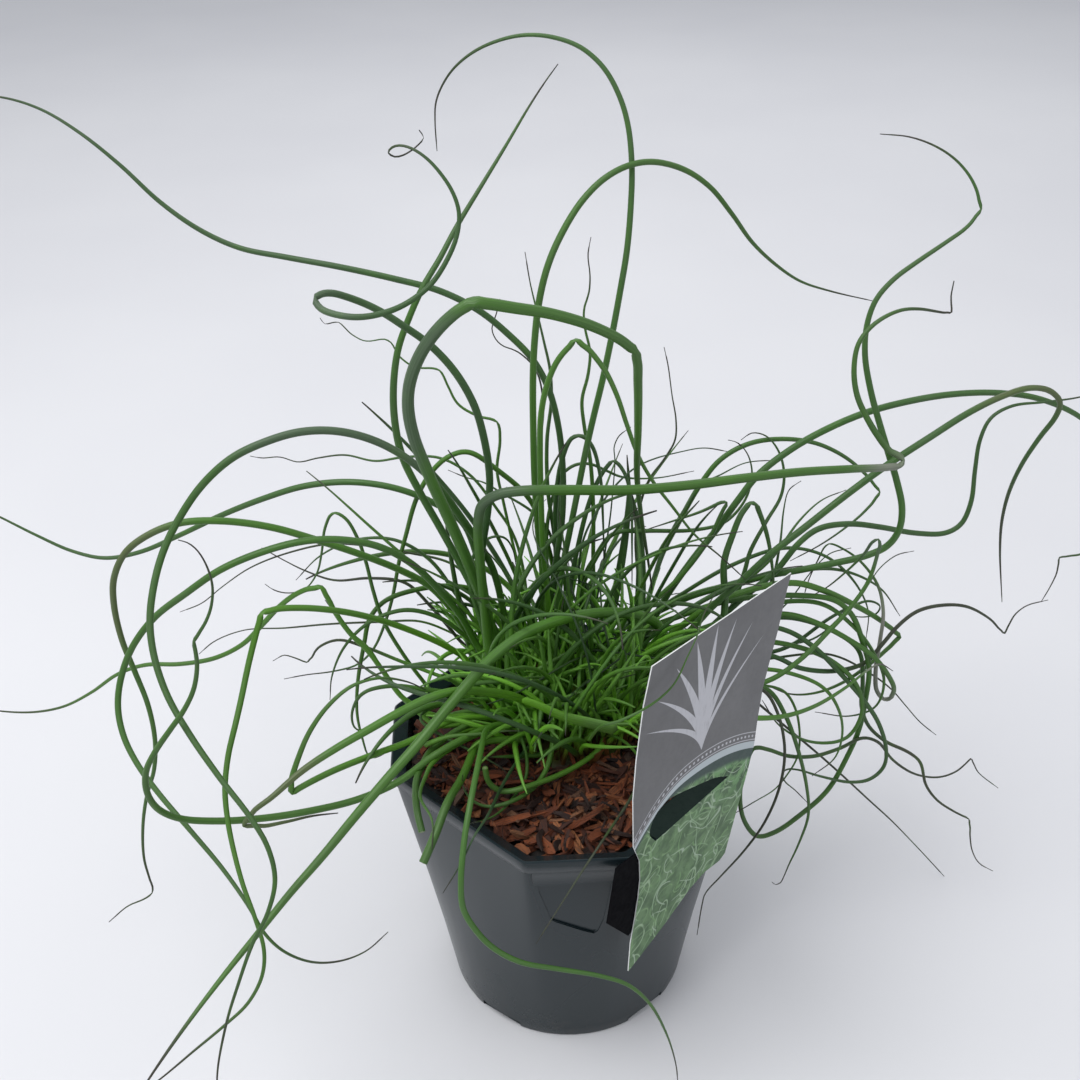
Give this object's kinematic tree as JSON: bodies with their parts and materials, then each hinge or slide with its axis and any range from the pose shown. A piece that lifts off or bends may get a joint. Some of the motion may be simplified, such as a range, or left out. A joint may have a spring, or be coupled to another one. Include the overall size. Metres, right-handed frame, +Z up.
{
  "type": "potted soft rush",
  "caption": "Potted soft rush: smooth round green stems, arched, curled and folded, rise from a dense clump in a square plastic pot with bark mulch and a label card.",
  "frame": {"origin": "centre of the pot's flat foot, where it stands", "axes": "+Z up along the pot's axis, -Y towards the front cut corner of the pot, +X to the right of the front"},
  "size_m": [0.6838, 0.3644, 0.498],
  "materials": {
    "pot_plastic": "satin dark slate grey, lightly scuffed",
    "potting_soil": "damp dark peat and root ball",
    "bark_chips": "rough reddish brown bark chips",
    "label_card": "printed plastic card, dark grey above and green below",
    "rush_stem": "smooth living stems, deep green with a grey bloom, drying to brown tips"
  },
  "bodies": {
    "root": {"pot": "pot_plastic", "soil": "potting_soil", "mulch": "bark_chips", "label": "label_card", "crown": "rush_stem", "stem_far_left_high": "rush_stem", "stem_curl_tip": "rush_stem", "stem_spear": "rush_stem", "stem_thick_arch": "rush_stem", "stem_top_loop": "rush_stem", "stem_right_arch": "rush_stem", "stem_upright_left": "rush_stem", "stem_upright_wavy": "rush_stem", "stem_bent_over": "rush_stem", "stem_right_tall": "rush_stem", "stem_level": "rush_stem", "stem_right_return": "rush_stem", "stem_right_long": "rush_stem", "stem_right_hoop": "rush_stem", "stem_right_step": "rush_stem", "stem_right_hook": "rush_stem", "stem_right_fold": "rush_stem", "stem_right_coil": "rush_stem", "stem_right_wander": "rush_stem", "stem_right_pocket": "rush_stem", "stem_right_ring": "rush_stem", "stem_right_spur": "rush_stem", "stem_right_sag": "rush_stem", "stem_right_dark": "rush_stem", "stem_right_drop": "rush_stem", "stem_left_drop": "rush_stem", "stem_left_wave": "rush_stem", "stem_left_hang": "rush_stem", "stem_left_sweep": "rush_stem", "stem_left_corner": "rush_stem", "stem_front_thick": "rush_stem", "stem_front_folded": "rush_stem", "stem_left_tent": "rush_stem", "stem_left_low": "rush_stem", "stem_left_far": "rush_stem", "stem_left_loop": "rush_stem", "stem_left_return": "rush_stem", "stem_left_hoop": "rush_stem", "stem_left_ripple": "rush_stem", "stem_left_stair": "rush_stem", "stem_over_front": "rush_stem", "stem_front_needle": "rush_stem", "stem_front_hook_right": "rush_stem", "stem_front_hook_left": "rush_stem", "stem_cut_long": "rush_stem", "stem_cut_short": "rush_stem", "stem_front_strand": "rush_stem", "stem_past_label": "rush_stem", "stem_left_thin_high": "rush_stem", "stem_left_thin_low": "rush_stem", "stem_left_crook": "rush_stem", "stem_right_thin_high": "rush_stem", "stem_right_thin_low": "rush_stem", "stem_right_thin_up": "rush_stem", "stem_right_thin_down": "rush_stem"}
  },
  "joints": []
}
